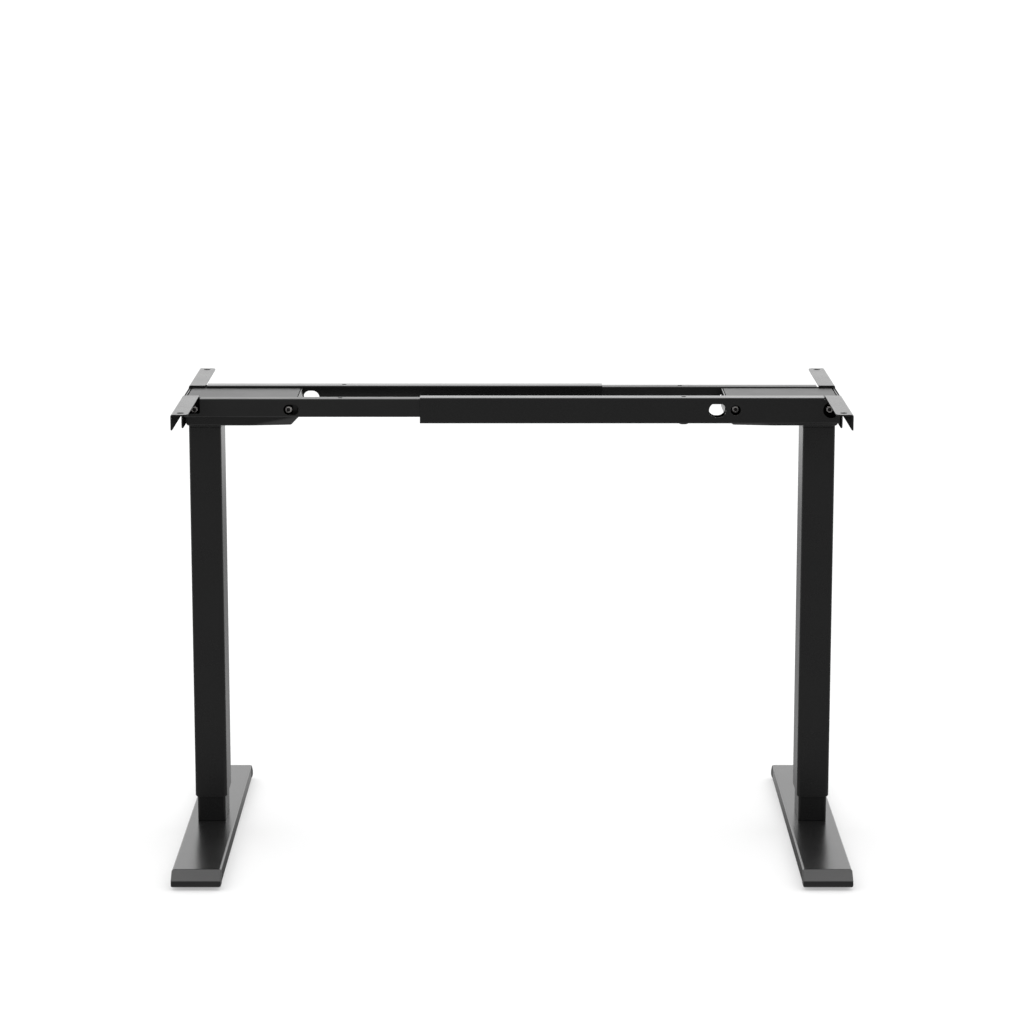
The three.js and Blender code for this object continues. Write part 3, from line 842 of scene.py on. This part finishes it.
def narrow_rail():
    rail = to_object("rail", tube(narrow_low, narrow_high, X, RAIL_RADIUS, 5))
    thicken(rail, RAIL_WALL)
    front, back = narrow_low.y - MM, narrow_high.y + MM
    centre = (narrow_low.y + narrow_high.y) / 2
    end = narrow_high.x + MM
    notch = block((RELIEF_X, narrow_low.y + RAIL_WALL, NOTCH_Z), (end, back, TOP))
    soften(notch, edges_along(notch, Y, lambda c: c.x < RELIEF_X + MM and c.z < NOTCH_Z + MM), 3 * MM, 6)
    cutters = [
        block((RELIEF_X, front, RELIEF_Z), (end, back, TOP + MM)),
        notch,
        slot_cutter(BOLT_SLOT, centre, back),
        slot_end_cutter(front, centre),
        *top_holes(centre, narrow_low.z, narrow_high.z, SCREW_ACCESS),
    ]
    cutters += [rod((x, front, BOLT_HEIGHT), (x, centre, BOLT_HEIGHT), BOLT_HOLE) for x in BOLT_XS]
    carve(rail, cutters)
    inset = Vector((0, 1, 1)) * (RAIL_WALL + HAIR)
    plate_high = Vector((narrow_low.x + RAIL_WALL, narrow_high.y, narrow_high.z))
    plate = to_object("end_plate", block(narrow_low + inset, plate_high - inset))
    dress(rail, 0.15 * MM)
    dress(plate, 0.2 * MM)
    shade_hole_wall(rail, centre, narrow_high.z - 3 * MM)
    return joined(rail, plate)


def rail_guide():
    return soft_block("guide", guide_low, guide_high, X, 0.8 * MM, 3, EDGE_BREAK)


def screw_bush():
    """A flanged bush that carries the table-top screw through the rail."""
    centre = (bush_low + bush_high) / 2
    flange = (bush_high.x - bush_low.x) / 2
    seat = wide_low.z - FIT_GAP - bush_low.z
    height = bush_high.z - bush_low.z
    bore, body, lead = TOP_HOLE_BORE, 6 * MM, 0.6 * MM
    profile = [
        (bore + lead, 0), (flange - lead, 0), (flange, lead), (flange, seat), (body, seat),
        (body, height), (bore, height), (bore, lead), (bore + lead, 0),
    ]
    bush = to_object("bush", turned(profile, (centre.x, centre.y, bush_low.z), segments=40))
    dress(bush, 0)
    return bush


# ---- screws ----

# Radius of the head, of the shank and of the socket's hexagon.
RAIL_SCREW = (5.5 * MM, 3 * MM, 2.9 * MM)
BRACKET_SCREW = (5 * MM, 3 * MM, 2.3 * MM)
FOOT_SCREW = (6.5 * MM, 3.9 * MM, 3.5 * MM)
LID_SCREW = (3.4 * MM, 1.9 * MM, 1.6 * MM)
RAIL_HEAD, FOOT_HEAD = 5 * MM, 6 * MM
SOCKET_FLOOR = 0.35


def cap_screw(seat, axis, sizes, height, length):
    """A socket head cap screw with its head's underside at the seat."""
    radius, shank, socket = sizes
    rim, point, edge = 0.9 * MM, 0.5 * MM, 0.2 * MM
    profile = [
        (0, -length), (shank - point, -length), (shank, -length + point), (shank, -edge),
        (shank + edge, 0), (radius - edge, 0), (radius, edge), (radius, height - rim),
        (radius - rim * 0.3, height - rim * 0.3), (radius - rim, height), (0, height),
    ]
    screw = to_object("screw", turned(profile, seat, axis))
    top = seat + axis * (height + MM)
    bottom = seat + axis * (height * SOCKET_FLOOR)
    entry = rod(seat + axis * (height - 0.35 * MM), top, socket * 0.98, 48, socket * 1.35)
    carve(screw, [rod(bottom, top, socket, 6), entry])
    dress(screw, 0.08 * MM, 1)
    # Faces inside the socket take slot 1, the dark painted shade of the recess.
    for polygon in screw.data.polygons:
        reach = polygon.center - seat
        height_up = reach.dot(axis)
        off_axis = (reach - axis * height_up).length
        inside = height * SOCKET_FLOOR - 0.1 * MM < height_up < height - 0.3 * MM
        if inside and off_axis < socket * 1.05:
            polygon.material_index = 1
    return screw


def rail_bolt(end, place):
    """The screw that holds a rail to the tray, with its head against the rail's near wall."""
    low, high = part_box(f"rail_bolt_{place}_{end}_right")
    side = -1 if end == "front" else 1
    inner = high.y if side < 0 else low.y
    outer = low.y if side < 0 else high.y
    centre = (low + high) / 2
    seat = Vector((centre.x, outer - side * RAIL_HEAD, centre.z))
    return cap_screw(seat, Y * side, RAIL_SCREW, RAIL_HEAD, abs(seat.y - inner))


def bracket_bolt(end):
    low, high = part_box(f"bracket_bolt_{end}_right")
    centre = (low + high) / 2
    seat = Vector((bracket_high.x + FIT_GAP, centre.y, centre.z))
    return cap_screw(seat, X, BRACKET_SCREW, high.x - seat.x, seat.x - low.x)


def foot_bolt(end):
    low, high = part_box(f"foot_bolt_{end}_right")
    centre = (low + high) / 2
    seat = Vector((centre.x, centre.y, low.z + FOOT_HEAD))
    return cap_screw(seat, -Z, FOOT_SCREW, FOOT_HEAD, high.z - seat.z)


# ---- the drive, inside the columns and the boxes ----

spindle_low, spindle_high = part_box("spindle_right")
nut_low, nut_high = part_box("spindle_nut_right")
gear_low, gear_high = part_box("gearbox_right")
motor_low, motor_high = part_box("motor_right")
block_low, block_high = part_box("foot_block_right")
sleeve_low, sleeve_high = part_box("top_sleeve_right")

THREAD_CREST = (spindle_high.x - spindle_low.x) / 2
THREAD_ROOT = 5.9 * MM
THREAD_PITCH = 4 * MM
THREAD_STARTS = 3
JOURNAL = 6 * MM
NUT_PLATE = 8 * MM
NUT_BORE, NUT_BOSS = 7.9 * MM, 14 * MM
TUBE_CORNER = 2 * MM


def spindle():
    """A three-start thread with flat crests and a plain journal at its top."""
    lead = THREAD_PITCH * THREAD_STARTS
    bottom, top = spindle_low.z, nut_high.z + 6 * MM
    turns = math.ceil((top - bottom) / THREAD_PITCH) + 2 * THREAD_STARTS
    shape = ((THREAD_ROOT, 0), (THREAD_ROOT, 0.32), (THREAD_CREST, 0.5), (THREAD_CREST, 0.82))
    steps = 24
    bm = bmesh.new()
    verts = []
    for turn in range(turns):
        base = bottom - lead + turn * THREAD_PITCH
        verts += [bm.verts.new((radius, 0, base + part * THREAD_PITCH)) for radius, part in shape]
    edges = [bm.edges.new(pair) for pair in zip(verts, verts[1:])]
    bmesh.ops.spin(
        bm, geom=verts + edges, cent=(0, 0, 0), axis=Z, dvec=Z * lead / steps,
        angle=math.tau, steps=steps, use_duplicate=False,
    )
    bmesh.ops.remove_doubles(bm, verts=bm.verts, dist=1e-6)
    for height, outwards in ((bottom, -Z), (top, Z)):
        everything = bm.verts[:] + bm.edges[:] + bm.faces[:]
        level = Z * height
        bmesh.ops.bisect_plane(bm, geom=everything, plane_co=level, plane_no=outwards, clear_outer=True)
        rim = [e for e in bm.edges if e.is_boundary and all(abs(v.co.z - height) < 1e-6 for v in e.verts)]
        bmesh.ops.holes_fill(bm, edges=rim, sides=0)
    bmesh.ops.recalc_face_normals(bm, faces=bm.faces)
    bmesh.ops.translate(bm, vec=(COLUMN_X, 0, 0), verts=bm.verts)
    thread = to_object("thread", bm)
    length = spindle_high.z - top
    profile = [(0, HAIR), (JOURNAL, HAIR), (JOURNAL, length - MM), (JOURNAL - MM, length), (0, length)]
    shaft = to_object("journal", turned(profile, (COLUMN_X, 0, top), segments=32))
    dress(thread, 0)
    dress(shaft, 0)
    return joined(thread, shaft)


def spindle_nut():
    """The nut's plate across the inner tube, with the threaded boss under it."""
    plate_low = Vector((nut_low.x, nut_low.y, nut_high.z - NUT_PLATE))
    bm = block(plate_low, nut_high)
    soften(bm, edges_along(bm, Z), TUBE_CORNER, 6)
    plate = to_object("nut_plate", bm)
    carve(plate, [rod((COLUMN_X, 0, plate_low.z - MM), (COLUMN_X, 0, nut_high.z + MM), NUT_BORE, 32)])
    height = plate_low.z - nut_low.z - HAIR
    outside = NUT_BOSS
    profile = [(NUT_BORE, 0), (outside - MM, 0), (outside, MM), (outside, height), (NUT_BORE, height)]
    profile.append(profile[0])
    boss = to_object("nut_boss", turned(profile, (COLUMN_X, 0, nut_low.z), segments=40))
    dress(plate, 0.4 * MM)
    dress(boss, 0)
    return joined(plate, boss)


def foot_block():
    bm = block(block_low, block_high)
    soften(bm, edges_along(bm, Z), TUBE_CORNER, 6)
    anchor = to_object("anchor", bm)
    cutters = []
    for end in ("front", "rear"):
        bolt = centre_of(f"foot_bolt_{end}_right")
        start = Vector((bolt.x, bolt.y, block_low.z - MM))
        cutters.append(rod(start, Vector((bolt.x, bolt.y, block_high.z + MM)), M8_HOLE, 32))
    carve(anchor, cutters)
    dress(anchor, 0.5 * MM)
    return anchor


SLEEVE_OPENING = (19 * MM, 34 * MM)
SLEEVE_GAP = 0.3 * MM


def top_sleeve():
    """The slide sleeve on the inner tube's top, with a lip that hooks over its end."""
    bm = block(sleeve_low, sleeve_high)
    soften(bm, edges_along(bm, Z), OUTER_RADIUS - COLUMN_WALL, 8)
    sleeve = to_object("sleeve", bm)
    gap = Vector((SLEEVE_GAP, SLEEVE_GAP, 0))
    low = Vector((inner_low.x, inner_low.y, sleeve_low.z - MM)) - gap
    seat = Vector((inner_high.x, inner_high.y, inner_high.z + SLEEVE_GAP)) + gap
    cavity = block(low, seat)
    soften(cavity, edges_along(cavity, Z), INNER_RADIUS, 8)
    half_x, half_y = SLEEVE_OPENING
    opening = block((COLUMN_X - half_x, -half_y, low.z), (COLUMN_X + half_x, half_y, sleeve_high.z + MM))
    soften(opening, edges_along(opening, Z), MM, 4)
    carve(sleeve, [cavity, opening])
    dress(sleeve, 0.2 * MM)
    return sleeve


CASE_SPLIT = 693.5 * MM
CASE_TOP = 699.6 * MM
CASE_BORE_TOP = 692 * MM
CASE_CORNER = 4 * MM
RIB_DEPTH = 2 * MM
RIBS = 6
LID_INSET = 6 * MM


def gearbox():
    """A cast case with ribbed sides and a lid held by four screws."""
    body = block(gear_low, (gear_high.x, gear_high.y, CASE_SPLIT - 0.3 * MM))
    soften(body, edges_along(body, Z), CASE_CORNER, 6)
    case = to_object("case", body)
    cutters = [rod((COLUMN_X, 0, gear_low.z - MM), (COLUMN_X, 0, CASE_BORE_TOP), NUT_BORE, 32)]
    step = (gear_high.x - gear_low.x - 10 * MM) / RIBS
    for side in (-1, 1):
        for rib in range(RIBS):
            x = gear_low.x + 5 * MM + (rib + 0.5) * step
            y0, y1 = sorted((side * gear_high.y, side * (gear_high.y - RIB_DEPTH)))
            low = (x - step * 0.3, y0 - 0.01 * MM, gear_low.z + 4 * MM)
            high = (x + step * 0.3, y1 + 0.01 * MM, CASE_SPLIT - 4 * MM)
            cutters.append(block(low, high))
    carve(case, cutters)
    lid_block = block((gear_low.x, gear_low.y, CASE_SPLIT), (gear_high.x, gear_high.y, CASE_TOP))
    soften(lid_block, edges_along(lid_block, Z), CASE_CORNER, 6)
    lid = to_object("lid", lid_block)
    dress(case, 0.6 * MM)
    dress(lid, 0.8 * MM)
    screws = []
    for x in (gear_low.x + LID_INSET, gear_high.x - LID_INSET):
        for y in (gear_low.y + LID_INSET, gear_high.y - LID_INSET):
            seat = Vector((x, y, CASE_TOP + HAIR))
            screws.append(cap_screw(seat, Z, LID_SCREW, gear_high.z - seat.z, 0.01 * MM))
    return joined(case, lid, *screws)


FRONT_CRIMP, REAR_CRIMP = 18 * MM, 20 * MM


def motor():
    """A rolled can between two crimp grooves, with a bearing boss at its end."""
    radius = (motor_high.y - motor_low.y) / 2
    length = motor_high.x - motor_low.x
    centre = (motor_low + motor_high) / 2
    boss, boss_length, shoulder, groove = 12 * MM, 4 * MM, 1.5 * MM, 0.6 * MM
    profile = [(0, 0), (boss - groove, 0), (boss, groove), (boss, boss_length)]
    profile += [(radius - shoulder, boss_length), (radius, boss_length + shoulder)]
    for start in (FRONT_CRIMP, length - REAR_CRIMP):
        floor = radius - groove
        profile += [(radius, start), (floor, start + groove)]
        profile += [(floor, start + 3 * groove), (radius, start + 4 * groove)]
    profile += [(radius, length - 0.4 * MM), (radius - 0.4 * MM, length), (0, length)]
    can = to_object("can", turned(profile, (motor_low.x, centre.y, centre.z), X))
    dress(can, 0)
    return can


# ---- putting the pieces together ----

HALF_TURN = Matrix.Rotation(math.pi, 4, "Z")


def place(thing, name, side, body, node, material, inside=None):
    """Names a right-hand piece, turns it for the left half and puts it on its body, for its CAD node."""
    if side == "left":
        thing.data.transform(HALF_TURN)
    thing.name = name
    thing.data.name = name
    thing.data.materials[0] = material
    thing.data.materials[1] = inside or material
    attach(thing, body)
    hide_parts(node)


add_camera()
add_studio()
add_floor()

coat = powder_coat("powder_coat", 0.25, 0.28)
plate_coat = powder_coat("plate_coat", 0.40, 0.44)
wide_coat = powder_coat("wide_rail_coat", 0.19, 0.22)
foot_coat = powder_coat("foot_coat", 0.215, 0.235)
narrow_coat = powder_coat("narrow_rail_coat", 0.32, 0.36)
tube_coat = powder_coat("lower_tube_coat", 0.25, 0.28, 1.4)
# Near-black painted shade for inner faces, hole walls and cut edges.
painted_shade = inside_painted_shade()
socket_shade = socket_painted_shade()
cap_plastic = moulded_plastic("cap_plastic", 0.008, 0.34, 0.40, 1100)
guide_plastic = moulded_plastic("guide_plastic_skin", 0.010, 0.45, 0.55, 900)
pad_rubber = rubber()
zinc = zinc_plate()
alloy = cast_alloy()
steel = drawn_steel()

for side in ("right", "left"):
    lower, upper = f"lower_{side}", f"upper_{side}"
    front, rear = ("front", "rear") if side == "right" else ("rear", "front")
    place(foot_beam(), f"foot_beam_{side}", side, lower, f"foot_{side}", foot_coat, painted_shade)
    place(inner_column(), f"inner_column_{side}", side, lower, f"inner_tube_{side}", tube_coat, painted_shade)
    place(outer_column(), f"outer_column_{side}", side, upper, f"outer_tube_{side}", coat, painted_shade)
    place(mouth_collar(), f"slide_collar_{side}", side, upper, f"mouth_collar_{side}", guide_plastic)
    place(column_head(), f"head_plate_{side}", side, upper, f"column_head_{side}", coat, painted_shade)
    place(motor_tray(), f"motor_tray_{side}", side, upper, f"motor_box_{side}", coat, painted_shade)
    place(box_cover(), f"cover_plate_{side}", side, upper, f"box_cover_{side}", plate_coat, painted_shade)
    place(bracket(), f"side_bracket_{side}", side, upper, f"bracket_{side}", coat, painted_shade)
    place(wide_rail(), f"outer_rail_{front}", side, upper, f"wide_rail_{front}", wide_coat, painted_shade)
    place(narrow_rail(), f"inner_rail_{rear}", side, upper, f"narrow_rail_{rear}", narrow_coat, painted_shade)
    place(rail_guide(), f"rail_pad_{front}", side, upper, f"rail_guide_{front}", guide_plastic)
    place(screw_bush(), f"table_screw_bush_{front}", side, upper, f"screw_bush_{front}", guide_plastic)
    place(foot_block(), f"anchor_block_{side}", side, lower, f"foot_block_{side}", zinc)
    place(top_sleeve(), f"slide_sleeve_{side}", side, lower, f"top_sleeve_{side}", guide_plastic)
    place(spindle_nut(), f"drive_nut_{side}", side, lower, f"spindle_nut_{side}", zinc)
    place(spindle(), f"threaded_spindle_{side}", side, f"spindle_{side}", f"spindle_{side}", zinc)
    place(gearbox(), f"gear_case_{side}", side, upper, f"gearbox_{side}", alloy, zinc)
    place(motor(), f"drive_motor_{side}", side, upper, f"motor_{side}", steel)
    for made, end in (("front", front), ("rear", rear)):
        glide_body = f"glide_{end}_{side}"
        place(foot_cap(made), f"end_cap_{end}_{side}", side, lower, f"foot_cap_{end}_{side}", cap_plastic)
        place(glide_pad(made), f"glide_pad_{end}_{side}", side, glide_body, glide_body, pad_rubber)
        place(glide_stud(made), f"glide_stud_{end}_{side}", side, glide_body, glide_body, zinc, socket_shade)
        name = f"foot_bolt_{end}_{side}"
        place(foot_bolt(made), f"foot_screw_{end}_{side}", side, lower, name, zinc, socket_shade)
        name = f"bracket_bolt_{end}_{side}"
        place(bracket_bolt(made), f"bracket_screw_{end}_{side}", side, upper, name, zinc, socket_shade)
        for spot in ("inner", "outer"):
            name = f"rail_bolt_{spot}_{end}_{side}"
            screw = rail_bolt(made, spot)
            place(screw, f"rail_screw_{spot}_{end}_{side}", side, upper, name, zinc, socket_shade)
